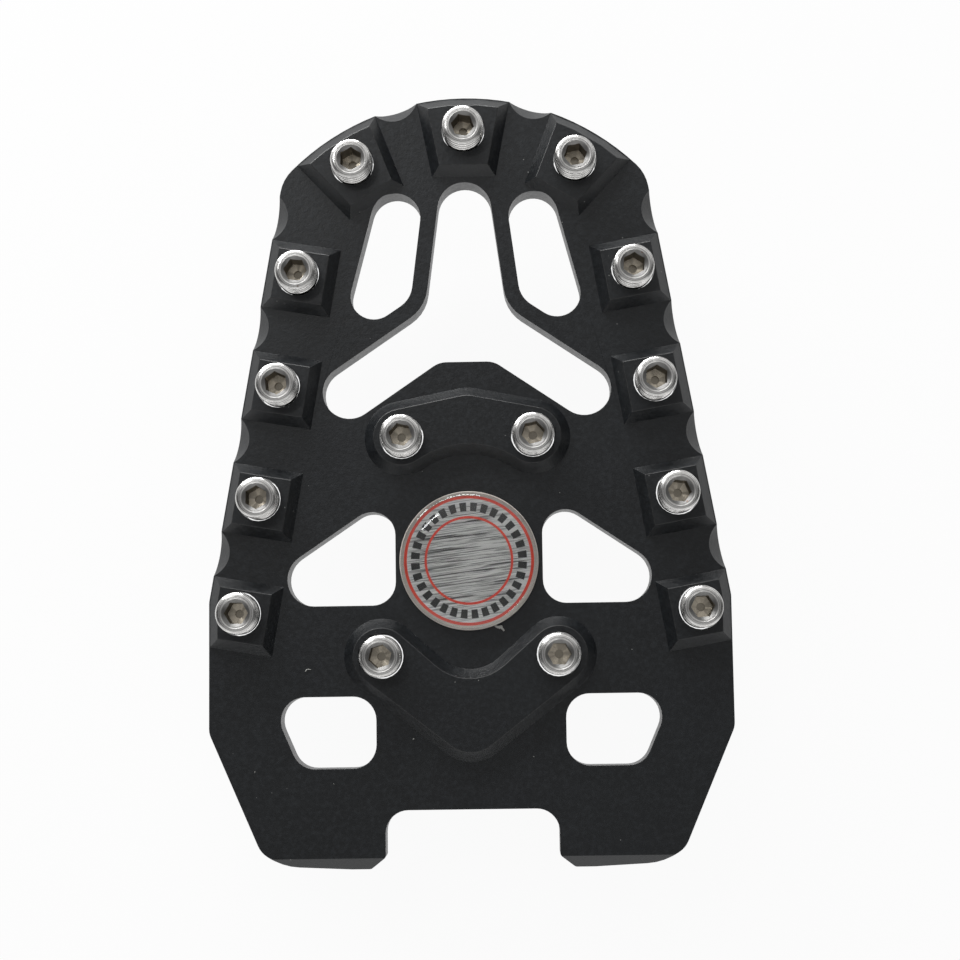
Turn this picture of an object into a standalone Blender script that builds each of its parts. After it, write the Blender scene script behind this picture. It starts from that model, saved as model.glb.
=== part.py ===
"""Motorcycle foot peg: a wide machined tread plate with grip pads, threaded studs and a domed badge.

The frame has its origin at the middle of the pivot bore, +X along the bore,
+Y out along the peg to its rounded tip, and +Z up out of the tread.
Sizes are in metres and angles in degrees. A share is a place along the peg,
as a part of the reach from the pivot to the tip.
"""

import math

import bmesh
import bpy
from mathutils import Matrix, Vector

# Pivot lug under the plate
PIN_DIAMETER = 0.008
PIN_CLEARANCE = 0.0002
LUG_WALL = 0.0029
LUG_WIDTH = 0.018
LUG_SETBACK = 0.0013
BORE_CHAMFER = 0.0005
PLATE_RISE = 0.005
SPINE_END = 0.031
SPINE_END_DEPTH = 0.0016

# Plate and its outline
PLATE_THICKNESS = 0.0046
WIDEST = 0.0758
REACH = 0.0965
FLANK_FOOT = 0.003
FLANK_TOP = 0.0219
FLANK_RADIUS = 0.003
SIDE_ANGLE = 9.87
HEAD_BULGE = 0.0056
HEAD_CORNER_RADIUS = 0.006
NOTCH_WIDTH = 0.025
NOTCH_DEPTH = 0.00844
NOTCH_RADIUS = 0.0033
TAB_CORNER_WIDTH = 0.0022
TAB_CORNER_HEIGHT = 0.0018
TAB_CORNER_RADIUS = 0.0007
TAB_FLAT = 0.005
TAB_SWEEP_WIDTH = 0.0094
TAB_SWEEP_HEIGHT = 0.0005
TAB_SWEEP_RADIUS = 0.0075
TAB_KNUCKLE_WIDTH = 0.0035
TAB_KNUCKLE_HEIGHT = 0.0021
TAB_KNUCKLE_RADIUS = 0.0036
TAB_BEVEL = 0.0017
TAB_BEVEL_ANGLE = 45.0

# Rows of square pads along the two sides, counted from the tip
ROW_COUNT = 4
ROW_START_SHARE = 0.514
ROW_PITCH = 0.01685
EDGE_TO_STUD = 0.0048
PAD_WIDTH = 0.0104
PAD_LENGTH = 0.0103
PAD_SHIFT = 0.0003

# Fan of pads round the head
HEAD_PITCH = 32.1
HEAD_PAD_ANGLE = 21.9
HEAD_PAD_DEPTH = 0.0115
HEAD_EDGE_TO_STUD = 0.0054

# Height and draft shared by the pads and the two ribs
PAD_HEIGHT = 0.0017
PAD_SLOPE = 0.0014
PAD_LEDGE = 0.0001
PAD_ROOT = 0.001

# Scallops cut in the rim between the pads
SCALLOP_EASE = 0.0013
SCALLOP_TILT = 38.0

# Ribs above and below the badge, with a round boss at each end
BOSS_RADIUS = 0.0055
UPPER_BOSS_X = 0.00957
UPPER_BOSS_SHARE = 0.4715
UPPER_PEAK = 0.0075
UPPER_PEAK_RADIUS = 0.006
UPPER_ARCH_DROP = 0.0025
LOWER_BOSS_X = 0.0128
LOWER_BOSS_SHARE = 0.142
LOWER_TIP_DROP = 0.0169
LOWER_TIP_RADIUS = 0.0061
LOWER_CROTCH_DROP = 0.004
LOWER_CROTCH_RADIUS = 0.0061

# Windows through the plate, each sharp corner as x and share
STEM_TOP_X = 0.0035
STEM_TOP_SHARE = 0.8674
STEM_FOOT_X = 0.006
STEM_FOOT_SHARE = 0.6725
STEM_FOOT_RADIUS = 0.006
ARM_SHOULDER_X = 0.02235
ARM_SHOULDER_SHARE = 0.5575
ARM_TOE_X = 0.0187
ARM_TOE_SHARE = 0.4839
ARM_CROTCH_X = 0.004
ARM_CROTCH_SHARE = 0.5876
SLOT_OUTER_TOP_X = 0.0131
SLOT_OUTER_TOP_SHARE = 0.8497
SLOT_INNER_TOP_X = 0.006
SLOT_INNER_TOP_SHARE = 0.8549
SLOT_KNEE_X = 0.0081
SLOT_KNEE_SHARE = 0.686
SLOT_KNEE_RADIUS = 0.004
SLOT_INNER_FOOT_X = 0.013
SLOT_INNER_FOOT_SHARE = 0.6518
SLOT_OUTER_FOOT_X = 0.0177
SLOT_OUTER_FOOT_SHARE = 0.6684
SIDE_WINDOW_MARGIN = 0.0006
SIDE_WINDOW_SHARE = 0.2187
SIDE_WINDOW_HEIGHT = 0.0166
SIDE_WINDOW_REACH = 0.0258
SIDE_WINDOW_LEAN = 0.0011
SIDE_WINDOW_RISE = 0.0057
FOOT_WINDOW_INNER = 0.0137
FOOT_WINDOW_TOP = 0.008
FOOT_WINDOW_HEIGHT = 0.0103
FOOT_WINDOW_WIDTH = 0.0156
FOOT_WINDOW_SLANT = 0.0045
WINDOW_RADIUS = 0.0034

# Set-screw studs
STUD_RADIUS = 0.003
STUD_LENGTH = 0.008
STUD_PROUD = 0.0032
STUD_CHAMFER = 0.0005
STUD_POINT_CHAMFER = 0.0006
THREAD_GAP = 0.0002
HEX_ACROSS_FLATS = 0.003
HEX_MOUTH_CHAMFER = 0.0004
HEX_DEPTH = 0.004
HEX_POINT_DEPTH = 0.0007
HEX_POINT_RADIUS = 0.0006

# How far each screw is turned in its thread, in degrees
STUD_TURNS = {
    "stud_tip": -10,
    "stud_head_left": 28,
    "stud_head_right": 9,
    "stud_row_1_left": -6,
    "stud_row_1_right": 27,
    "stud_row_2_left": 35,
    "stud_row_2_right": 28,
    "stud_row_3_left": 29,
    "stud_row_3_right": -7,
    "stud_row_4_left": 0,
    "stud_row_4_right": 3,
    "stud_upper_left": -13,
    "stud_upper_right": 12,
    "stud_lower_left": 16,
    "stud_lower_right": -2,
}

# Badge
BADGE_SHARE = 0.284
BADGE_RADIUS = 0.0101
LABEL_THICKNESS = 0.0005
ADHESIVE = 0.0001
DOME_SETBACK = 0.00015
DOME_EDGE = 0.0007
DOME_RISE = 0.0011

# Facets and cutters
ARC_STEP = 10.0
SHORTEST_EDGE = 0.00001
HEAD_ARC_STEP = 3.0
STUD_SIDES = 24
BADGE_SIDES = 60
DOME_RINGS = 5
CUT_MARGIN = 0.002

# Sizes that follow from those above
BORE_RADIUS = PIN_DIAMETER / 2 + PIN_CLEARANCE / 2
LUG_RADIUS = BORE_RADIUS + LUG_WALL
UNDERSIDE = PLATE_RISE
TREAD = UNDERSIDE + PLATE_THICKNESS
PAD_TOP = TREAD + PAD_HEIGHT
NOTCH_Y = -(LUG_RADIUS + LUG_SETBACK)
TAB_END = NOTCH_Y - NOTCH_DEPTH
HALF_WIDTH = WIDEST / 2
OUTWARD = Vector((math.cos(math.radians(SIDE_ANGLE)), math.sin(math.radians(SIDE_ANGLE))))
UPWARD = Vector((-OUTWARD.y, OUTWARD.x))
HEAD_RADIUS = (HALF_WIDTH * OUTWARD.x + (FLANK_TOP - REACH) * OUTWARD.y + HEAD_BULGE) / (1 - OUTWARD.y)
HEAD = Vector((0.0, REACH - HEAD_RADIUS))
BADGE_Y = REACH * BADGE_SHARE
UPPER_BOSS = Vector((UPPER_BOSS_X, REACH * UPPER_BOSS_SHARE))
LOWER_BOSS = Vector((LOWER_BOSS_X, REACH * LOWER_BOSS_SHARE))


def clear_scene():
    for obj in list(bpy.data.objects):
        bpy.data.objects.remove(obj, do_unlink=True)


def material(name, colour, metallic, roughness, transmission=0.0):
    made = bpy.data.materials.new(name)
    made.use_nodes = True
    shader = made.node_tree.nodes["Principled BSDF"]
    shader.inputs["Base Color"].default_value = (*colour, 1.0)
    shader.inputs["Metallic"].default_value = metallic
    shader.inputs["Roughness"].default_value = roughness
    shader.inputs["Transmission Weight"].default_value = transmission
    return made


# Outlines


def arc(centre, radius, start, end):
    """Points on an arc from one angle to another, in degrees, both ends included."""
    steps = max(2, math.ceil(abs(end - start) / ARC_STEP))
    angles = [math.radians(start + (end - start) * k / steps) for k in range(steps + 1)]
    return [Vector((centre[0] + radius * math.cos(a), centre[1] + radius * math.sin(a))) for a in angles]


def heading(vector):
    return math.degrees(math.atan2(vector.y, vector.x))


def rounded(corners):
    """Points along a closed outline given by its corners, each with x, y and a fillet radius."""
    points = []
    for i, (x, y, radius) in enumerate(corners):
        here = Vector((x, y))
        if radius == 0:
            points.append(here)
            continue
        back = (Vector(corners[i - 1][:2]) - here).normalized()
        ahead = (Vector(corners[(i + 1) % len(corners)][:2]) - here).normalized()
        half = back.angle(ahead) / 2
        centre = here + (back + ahead).normalized() * (radius / math.sin(half))
        reach = radius / math.tan(half)
        start = heading(here + back * reach - centre)
        turn = (heading(here + ahead * reach - centre) - start + 180) % 360 - 180
        points += arc(centre, radius, start, start + turn)
    return [p for i, p in enumerate(points) if (p - points[i - 1]).length > SHORTEST_EDGE]


def mirrored(points):
    """The outline's image across the long axis, still anticlockwise."""
    return [Vector((-p[0], p[1], *p[2:])) for p in reversed(points)]


def crossing(point, direction, other, other_direction):
    """Where two lines cross."""
    along = (other - point).cross(other_direction) / direction.cross(other_direction)
    return point + direction * along


def inset(points, distance):
    """A convex outline with each edge moved inward, keeping its corners sharp."""
    moved = []
    count = len(points)
    for i, here in enumerate(points):
        before = (here - points[i - 1]).normalized()
        after = (points[(i + 1) % count] - here).normalized()
        first = here + Vector((-before.y, before.x)) * distance
        second = here + Vector((-after.y, after.x)) * distance
        straight = abs(before.cross(after)) < 1e-6
        moved.append(first if straight else crossing(first, before, second, after))
    return moved


def kept_inside(points, limit):
    """A convex outline cut off at x = limit."""
    kept = []
    for i, here in enumerate(points):
        before = points[i - 1]
        if (before.x > limit) != (here.x > limit):
            kept.append(before.lerp(here, (limit - before.x) / (here.x - before.x)))
        if here.x <= limit:
            kept.append(here)
    return kept


def side_line(along):
    """A point on the slanting side of the plate, measured up from where the straight flank ends."""
    return Vector((HALF_WIDTH, FLANK_TOP)) + UPWARD * along


def head_edge():
    """The right half of the head's edge: a corner arc that runs smoothly off the side, then the wide arc."""
    across_side = HEAD_RADIUS - HEAD_BULGE - HEAD_CORNER_RADIUS
    reach = HEAD_RADIUS - HEAD_CORNER_RADIUS
    centre = HEAD + OUTWARD * across_side + UPWARD * math.sqrt(reach**2 - across_side**2)
    join = heading(centre - HEAD)
    steps = math.ceil((90 - join) / HEAD_ARC_STEP)
    points = arc(centre, HEAD_CORNER_RADIUS, SIDE_ANGLE, join)
    for k in range(1, steps):
        angle = math.radians(join + (90 - join) * k / steps)
        points.append(HEAD + Vector((math.cos(angle), math.sin(angle))) * HEAD_RADIUS)
    return points


def tab_corners():
    """The right tab's corners, from the notch round to the foot of the flank."""
    inner = NOTCH_WIDTH / 2
    flat_start = inner + TAB_CORNER_WIDTH
    flat_end = flat_start + TAB_FLAT - TAB_CORNER_WIDTH
    sweep_end = flat_end + TAB_SWEEP_WIDTH
    sweep_y = TAB_END + TAB_SWEEP_HEIGHT
    return [
        (inner, NOTCH_Y, NOTCH_RADIUS),
        (inner, TAB_END + TAB_CORNER_HEIGHT, TAB_CORNER_RADIUS),
        (flat_start, TAB_END, TAB_CORNER_RADIUS),
        (flat_end, TAB_END, 0),
        (sweep_end, sweep_y, TAB_SWEEP_RADIUS),
        (sweep_end + TAB_KNUCKLE_WIDTH, sweep_y + TAB_KNUCKLE_HEIGHT, TAB_KNUCKLE_RADIUS),
        (HALF_WIDTH, FLANK_FOOT, FLANK_RADIUS),
    ]


def plate_outline():
    right = tab_corners()
    right.append((HALF_WIDTH, FLANK_TOP, FLANK_RADIUS))
    right += [(*point, 0) for point in head_edge()]
    left = [(-x, y, radius) for x, y, radius in reversed(right)]
    return rounded([*right, (0, REACH, 0), *left])


def row_stud(index):
    return side_line(REACH * ROW_START_SHARE - ROW_PITCH * index) - OUTWARD * EDGE_TO_STUD


def row_pad(index):
    """The foot of one pad in the right row, cut off where the plate's flank turns straight."""
    outer = EDGE_TO_STUD - PAD_LEDGE
    inner = EDGE_TO_STUD - PAD_WIDTH
    top = PAD_LENGTH / 2 - PAD_SHIFT
    bottom = top - PAD_LENGTH
    corners = ((inner, bottom), (outer, bottom), (outer, top), (inner, top))
    square = [row_stud(index) + OUTWARD * u + UPWARD * v for u, v in corners]
    return kept_inside(square, HALF_WIDTH - PAD_LEDGE)


def head_stud(index):
    angle = math.radians(HEAD_PITCH * index)
    reach = HEAD_RADIUS - HEAD_EDGE_TO_STUD
    return HEAD + Vector((math.sin(angle), math.cos(angle))) * reach


def head_pad(index):
    """The foot of one pad in the fan round the head, with radial sides and an arched outer edge."""
    centre = 90 - HEAD_PITCH * index
    half = HEAD_PAD_ANGLE / 2
    outer = arc(HEAD, HEAD_RADIUS - PAD_LEDGE, centre - half, centre + half)
    inner_reach = HEAD_RADIUS - HEAD_PAD_DEPTH
    inner = [HEAD + Vector((math.cos(a), math.sin(a))) * inner_reach
             for a in (math.radians(centre + half), math.radians(centre - half))]
    return outer + inner


def tangent_heading(corner, centre, radius, side):
    """The heading, seen from a circle's centre, of the point where a line from corner touches it."""
    away = corner - centre
    return heading(away) + side * math.degrees(math.acos(radius / away.length))


def upper_rib(shrink):
    """The rib above the badge: a low peak on top, an arch below that runs smoothly into the bosses."""
    boss = UPPER_BOSS
    radius = BOSS_RADIUS - shrink
    peak = Vector((0, boss.y + UPPER_PEAK))
    touch = tangent_heading(peak, boss, BOSS_RADIUS, -1)
    fall = 90 - touch
    peak_centre = peak.y - UPPER_PEAK_RADIUS / math.cos(math.radians(fall))
    arch_radius = (boss.x**2 + UPPER_ARCH_DROP**2 - BOSS_RADIUS**2) / (2 * (BOSS_RADIUS - UPPER_ARCH_DROP))
    arch_centre = Vector((0, boss.y - UPPER_ARCH_DROP - arch_radius))
    join = heading(boss - arch_centre)
    right = arc(boss, radius, join - 180, touch)
    top = arc((0, peak_centre), UPPER_PEAK_RADIUS - shrink, touch, 180 - touch)
    arch = arc(arch_centre, arch_radius + shrink, 180 - join, join)
    return right + top + mirrored(right) + arch[1:-1]


def lower_rib(shrink):
    """The rib below the badge: a V with a rounded tip and crotch between two bosses."""
    boss = LOWER_BOSS
    radius = BOSS_RADIUS - shrink
    tip = Vector((0, boss.y - LOWER_TIP_DROP))
    crotch = Vector((0, boss.y - LOWER_CROTCH_DROP))
    below = tangent_heading(tip, boss, BOSS_RADIUS, 1)
    above = tangent_heading(crotch, boss, BOSS_RADIUS, -1) % 360
    tip_centre = tip.y + LOWER_TIP_RADIUS / math.cos(math.radians(below + 90))
    crotch_centre = crotch.y + LOWER_CROTCH_RADIUS / math.cos(math.radians(above - 90))
    right = arc(boss, radius, below, above)
    crotch_arc = arc((0, crotch_centre), LOWER_CROTCH_RADIUS + shrink, above - 180, -above)
    tip_arc = arc((0, tip_centre), LOWER_TIP_RADIUS - shrink, -180 - below, below)
    return right + crotch_arc + mirrored(right) + tip_arc


def placed(x, share):
    return Vector((x, REACH * share))


def round_end(before, first, second, after):
    """Two corners with the fillet radius that makes one round end of them."""
    turns = (first - before).angle(second - first), (second - first).angle(after - second)
    radius = (second - first).length / sum(math.tan(turn / 2) for turn in turns)
    return [(*first, radius), (*second, radius)]


def wishbone_outline():
    """The window on the axis: a stem that narrows upward and two arms with round ends."""
    top, other_top = (placed(x, STEM_TOP_SHARE) for x in (STEM_TOP_X, -STEM_TOP_X))
    foot, other_foot = (placed(x, STEM_FOOT_SHARE) for x in (STEM_FOOT_X, -STEM_FOOT_X))
    shoulder = placed(ARM_SHOULDER_X, ARM_SHOULDER_SHARE)
    toe = placed(ARM_TOE_X, ARM_TOE_SHARE)
    crotch = placed(ARM_CROTCH_X, ARM_CROTCH_SHARE)
    right = [(*crotch, WINDOW_RADIUS), *round_end(crotch, toe, shoulder, foot), (*foot, STEM_FOOT_RADIUS)]
    left = [(-x, y, radius) for x, y, radius in reversed(right)]
    return rounded([*right, *round_end(foot, top, other_top, other_foot), *left])


def slot_outline():
    """The long window beside the stem, round at both ends, with a knee between."""
    outer_top = placed(SLOT_OUTER_TOP_X, SLOT_OUTER_TOP_SHARE)
    inner_top = placed(SLOT_INNER_TOP_X, SLOT_INNER_TOP_SHARE)
    knee = placed(SLOT_KNEE_X, SLOT_KNEE_SHARE)
    foot = placed(SLOT_INNER_FOOT_X, SLOT_INNER_FOOT_SHARE)
    outer_foot = placed(SLOT_OUTER_FOOT_X, SLOT_OUTER_FOOT_SHARE)
    top = round_end(outer_foot, outer_top, inner_top, knee)
    return rounded([*top, (*knee, SLOT_KNEE_RADIUS), *round_end(knee, foot, outer_foot, outer_top)])


def side_window_outline():
    """The window beside the badge: upright on the inside, running out to a round end."""
    inner = max(BADGE_RADIUS, LUG_WIDTH / 2) + SIDE_WINDOW_MARGIN
    floor = REACH * SIDE_WINDOW_SHARE
    low, high = Vector((inner, floor)), Vector((inner, floor + SIDE_WINDOW_HEIGHT))
    end = Vector((SIDE_WINDOW_REACH, floor))
    end_top = end + Vector((SIDE_WINDOW_LEAN, SIDE_WINDOW_RISE))
    return rounded([(*low, WINDOW_RADIUS), *round_end(low, end, end_top, high), (*high, WINDOW_RADIUS)])


def foot_window_outline():
    """The window near the notch, with its outer side slanting like the tab's flank."""
    outer = FOOT_WINDOW_INNER + FOOT_WINDOW_WIDTH
    floor = FOOT_WINDOW_TOP - FOOT_WINDOW_HEIGHT
    return rounded([
        (FOOT_WINDOW_INNER, floor, WINDOW_RADIUS),
        (outer - FOOT_WINDOW_SLANT, floor, WINDOW_RADIUS),
        (outer, FOOT_WINDOW_TOP, WINDOW_RADIUS),
        (FOOT_WINDOW_INNER, FOOT_WINDOW_TOP, WINDOW_RADIUS),
    ])


def window_outlines():
    """The seven windows: one on the axis, and three in each half."""
    halves = {"slot": slot_outline(), "side": side_window_outline(), "foot": foot_window_outline()}
    windows = {"window_wishbone": wishbone_outline()}
    for name, outline in halves.items():
        windows[f"window_{name}_right"] = outline
        windows[f"window_{name}_left"] = mirrored(outline)
    return windows


# Solids

# Turns a side profile given as (y, z), so that it is lofted along X
ACROSS = Matrix(((0, 0, 1, 0), (1, 0, 0, 0), (0, 1, 0, 0), (0, 0, 0, 1)))


def loft(name, sections, place=Matrix.Identity(4)):
    """A closed solid through rings of as many points each, given as (height, points)."""
    mesh = bmesh.new()
    rings = [[mesh.verts.new((p[0], p[1], height)) for p in points] for height, points in sections]
    for lower, upper in zip(rings, rings[1:]):
        for i in range(len(lower)):
            mesh.faces.new((lower[i - 1], lower[i], upper[i], upper[i - 1]))
    mesh.faces.new(reversed(rings[0]))
    mesh.faces.new(rings[-1])
    mesh.transform(place)
    data = bpy.data.meshes.new(name)
    mesh.to_mesh(data)
    mesh.free()
    data.shade_smooth()
    data.set_sharp_from_angle(angle=math.radians(30))
    obj = bpy.data.objects.new(name, data)
    bpy.context.scene.collection.objects.link(obj)
    return obj


def ring(radius, sides):
    """Points round a circle, the first one on +X."""
    angles = [math.tau * k / sides for k in range(sides)]
    return [Vector((radius * math.cos(a), radius * math.sin(a))) for a in angles]


def hexagon(across_flats, sides):
    """As many points as a circle has, all on a hexagon whose corners are among them."""
    points = []
    for k in range(sides):
        angle = math.tau * k / sides
        reach = across_flats / 2 / math.cos(angle % (math.tau / 6) - math.tau / 12)
        points.append(Vector((reach * math.cos(angle), reach * math.sin(angle))))
    return points


def helper(collection, obj):
    """Moves an object that only shapes the plate into its collection, out of the render."""
    bpy.context.scene.collection.objects.unlink(obj)
    collection.objects.link(obj)
    obj.hide_render = True
    obj.display_type = "WIRE"


def helper_collection(name):
    made = bpy.data.collections.new(name)
    bpy.context.scene.collection.children.link(made)
    return made


def drafted(name, foot, top):
    """A raised solid with sloping sides, rooted below the tread."""
    return loft(name, [(TREAD - PAD_ROOT, foot), (TREAD, foot), (PAD_TOP, top)])


def lug():
    """The pivot lug's round end and the spine that carries it out under the plate."""
    toe = Vector((SPINE_END, UNDERSIDE - SPINE_END_DEPTH))
    touch = tangent_heading(toe, Vector((0, 0)), LUG_RADIUS, -1)
    root = UNDERSIDE + PLATE_THICKNESS / 2
    nose = arc((0, 0), LUG_RADIUS, 180, 360 + touch)
    profile = [Vector((-LUG_RADIUS, root)), *nose, toe, Vector((SPINE_END, root))]
    halves = [(-LUG_WIDTH / 2, profile), (LUG_WIDTH / 2, profile)]
    return loft("lug", halves, ACROSS)


def bore():
    """The pivot bore's cutter, with a chamfer where it meets each side of the lug."""
    side = LUG_WIDTH / 2
    mouth = BORE_RADIUS + BORE_CHAMFER
    right = [(side - BORE_CHAMFER, BORE_RADIUS), (side, mouth), (side + CUT_MARGIN, mouth)]
    widths = [(-x, radius) for x, radius in reversed(right)] + right
    return loft("bore", [(x, ring(radius, STUD_SIDES * 2)) for x, radius in widths], ACROSS)


def window(name, outline):
    low = UNDERSIDE - SPINE_END_DEPTH - CUT_MARGIN
    return loft(name, [(low, outline), (TREAD + CUT_MARGIN, outline)])


def stud_hole(name, centre):
    radius = STUD_RADIUS + THREAD_GAP
    points = [p + centre for p in ring(radius, STUD_SIDES)]
    return loft(name, [(-LUG_RADIUS, points), (PAD_TOP + CUT_MARGIN, points)])


def scallop(name, middle, outward, chord):
    """A tilted cylinder that dishes the rim and touches its top edge at the ends of the chord."""
    tilt = math.radians(SCALLOP_TILT)
    flat = outward.to_3d()
    down = flat * math.sin(tilt) - Vector((0, 0, math.cos(tilt)))
    off = flat * math.cos(tilt) + Vector((0, 0, math.sin(tilt)))
    radius = chord / 2 + SCALLOP_EASE
    offset = math.sqrt(radius**2 - (chord / 2) ** 2)
    centre = Vector((*middle, TREAD)) + off * offset
    along = down.cross(off)
    turned = Matrix((off, along, down)).transposed()
    points = ring(radius, STUD_SIDES * 2)
    reach = 3 * radius
    return loft(name, [(-reach, points), (reach, points)], Matrix.Translation(centre) @ turned.to_4x4())


def scallops():
    """The rim's scallops: one above each pad of a row, and one between each two pads of the head."""
    made = []
    gap = ROW_PITCH - PAD_LENGTH
    for index in range(ROW_COUNT):
        middle = side_line(REACH * ROW_START_SHARE - ROW_PITCH * index + PAD_LENGTH / 2 - PAD_SHIFT + gap / 2)
        made.append((middle, OUTWARD, gap))
    half_gap = math.radians(HEAD_PITCH - HEAD_PAD_ANGLE) / 2
    outward = Vector((math.sin(math.radians(HEAD_PITCH / 2)), math.cos(math.radians(HEAD_PITCH / 2))))
    middle = HEAD + outward * (HEAD_RADIUS * math.cos(half_gap))
    made.append((middle, outward, 2 * HEAD_RADIUS * math.sin(half_gap)))
    return made


def tab_bevel():
    """A wedge that slopes the ends of the two tabs."""
    line = TAB_END + TAB_BEVEL
    slope = math.tan(math.radians(TAB_BEVEL_ANGLE))
    far = line - TAB_BEVEL - CUT_MARGIN
    near = line + CUT_MARGIN
    profile = [
        Vector((far, TREAD - (line - far) * slope)),
        Vector((near, TREAD + CUT_MARGIN * slope)),
        Vector((far, TREAD + CUT_MARGIN * slope)),
    ]
    ends = [(-HALF_WIDTH, profile), (HALF_WIDTH, profile)]
    return loft("tab_bevel", ends, ACROSS)


def stud_places():
    """Each stud's name and centre."""
    places = {"stud_tip": head_stud(0)}
    pairs = {
        "stud_head": head_stud(1),
        "stud_upper": UPPER_BOSS,
        "stud_lower": LOWER_BOSS,
    }
    for index in range(ROW_COUNT):
        pairs[f"stud_row_{index + 1}"] = row_stud(index)
    for name, place in pairs.items():
        places[f"{name}_right"] = place
        places[f"{name}_left"] = Vector((-place.x, place.y))
    return places


def raised_shapes():
    """Everything that is milled in one piece with the plate and stands above or below it."""
    shapes = [drafted("pad_tip", head_pad(0), inset(head_pad(0), PAD_SLOPE))]
    feet = {"pad_head": head_pad(1)}
    for index in range(ROW_COUNT):
        feet[f"pad_row_{index + 1}"] = row_pad(index)
    for name, foot in feet.items():
        top = inset(foot, PAD_SLOPE)
        shapes.append(drafted(f"{name}_right", foot, top))
        shapes.append(drafted(f"{name}_left", mirrored(foot), mirrored(top)))
    shapes.append(drafted("rib_upper", upper_rib(0), upper_rib(PAD_SLOPE)))
    shapes.append(drafted("rib_lower", lower_rib(0), lower_rib(PAD_SLOPE)))
    shapes.append(lug())
    return shapes


def cutters():
    made = [window(name, outline) for name, outline in window_outlines().items()]
    made += [stud_hole(f"hole_{name}", place) for name, place in stud_places().items()]
    for number, (middle, outward, chord) in enumerate(scallops()):
        made.append(scallop(f"scallop_{number}_right", middle, outward, chord))
        across_axis = Vector((-1, 1))
        made.append(scallop(f"scallop_{number}_left", middle * across_axis, outward * across_axis, chord))
    made.append(tab_bevel())
    made.append(bore())
    return made


def peg_plate(finish):
    """The plate, with its pads, ribs and lug joined on and its windows, holes and scallops cut."""
    outline = plate_outline()
    plate = loft("peg_plate", [(UNDERSIDE, outline), (TREAD, outline)])
    plate.data.materials.append(finish)
    for name, operation, shapes in (
        ("raised", "UNION", raised_shapes()),
        ("cut", "DIFFERENCE", cutters()),
    ):
        group = helper_collection(name)
        for shape in shapes:
            helper(group, shape)
        modifier = plate.modifiers.new(name, "BOOLEAN")
        modifier.operation = operation
        modifier.operand_type = "COLLECTION"
        modifier.collection = group
        modifier.solver = "EXACT"
    return plate


def stud_mesh():
    """A set screw standing on its point, with its hexagon socket in the top."""
    top = STUD_LENGTH
    socket_floor = top - HEX_DEPTH
    mouth = HEX_ACROSS_FLATS / 2 / math.cos(math.tau / 12) + HEX_MOUTH_CHAMFER
    body = [
        (0, STUD_RADIUS - STUD_POINT_CHAMFER),
        (STUD_POINT_CHAMFER, STUD_RADIUS),
        (top - STUD_CHAMFER, STUD_RADIUS),
        (top, STUD_RADIUS - STUD_CHAMFER),
        (top, mouth),
    ]
    sections = [(height, ring(radius, STUD_SIDES)) for height, radius in body]
    for height in (top - HEX_MOUTH_CHAMFER, socket_floor):
        sections.append((height, hexagon(HEX_ACROSS_FLATS, STUD_SIDES)))
    sections.append((socket_floor - HEX_POINT_DEPTH, ring(HEX_POINT_RADIUS, STUD_SIDES)))
    return loft("stud", sections)


def studs(finish):
    """One set screw in each threaded hole, all sharing one mesh, each stopped at its own turn."""
    pattern = stud_mesh()
    pattern.data.materials.append(finish)
    shared = pattern.data
    bpy.data.objects.remove(pattern, do_unlink=True)
    for name, place in stud_places().items():
        stud = bpy.data.objects.new(name, shared)
        stud.location = (*place, PAD_TOP + STUD_PROUD - STUD_LENGTH)
        stud.rotation_euler.z = math.radians(STUD_TURNS[name])
        bpy.context.scene.collection.objects.link(stud)


def badge(label_finish, dome_finish):
    """A round metal label glued between the ribs, under a clear dome."""
    label_foot = TREAD + ADHESIVE
    label_top = label_foot + LABEL_THICKNESS
    disc = ring(BADGE_RADIUS, BADGE_SIDES)
    label = loft("badge_label", [(label_foot, disc), (label_top, disc)])
    label.location.y = BADGE_Y
    label.data.materials.append(label_finish)
    radius = BADGE_RADIUS - DOME_SETBACK
    foot = label_top + ADHESIVE
    sphere = (radius**2 + DOME_RISE**2) / (2 * DOME_RISE)
    widest = math.asin(radius / sphere)
    sections = [(foot, ring(radius, BADGE_SIDES))]
    for k in range(DOME_RINGS + 1):
        angle = widest * (1 - k / (DOME_RINGS + 1))
        height = foot + DOME_EDGE + DOME_RISE - sphere * (1 - math.cos(angle))
        sections.append((height, ring(sphere * math.sin(angle), BADGE_SIDES)))
    dome = loft("badge_dome", sections)
    dome.location.y = BADGE_Y
    dome.data.materials.append(dome_finish)


def main():
    clear_scene()
    black = material("black_anodised", (0.022, 0.023, 0.024), 0.3, 0.55)
    chrome = material("bright_steel", (0.72, 0.71, 0.69), 1.0, 0.18)
    silver = material("brushed_label", (0.62, 0.62, 0.61), 0.9, 0.35)
    clear = material("clear_resin", (0.95, 0.95, 0.95), 0.0, 0.04, 1.0)
    peg_plate(black)
    studs(chrome)
    badge(silver, clear)


main()
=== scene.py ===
"""Motorcycle foot peg: finished surfaces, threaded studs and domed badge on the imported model.

Lengths are in metres. X runs along the lug's bore, Y out to the rounded tip and Z up.
"""

import math

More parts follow.
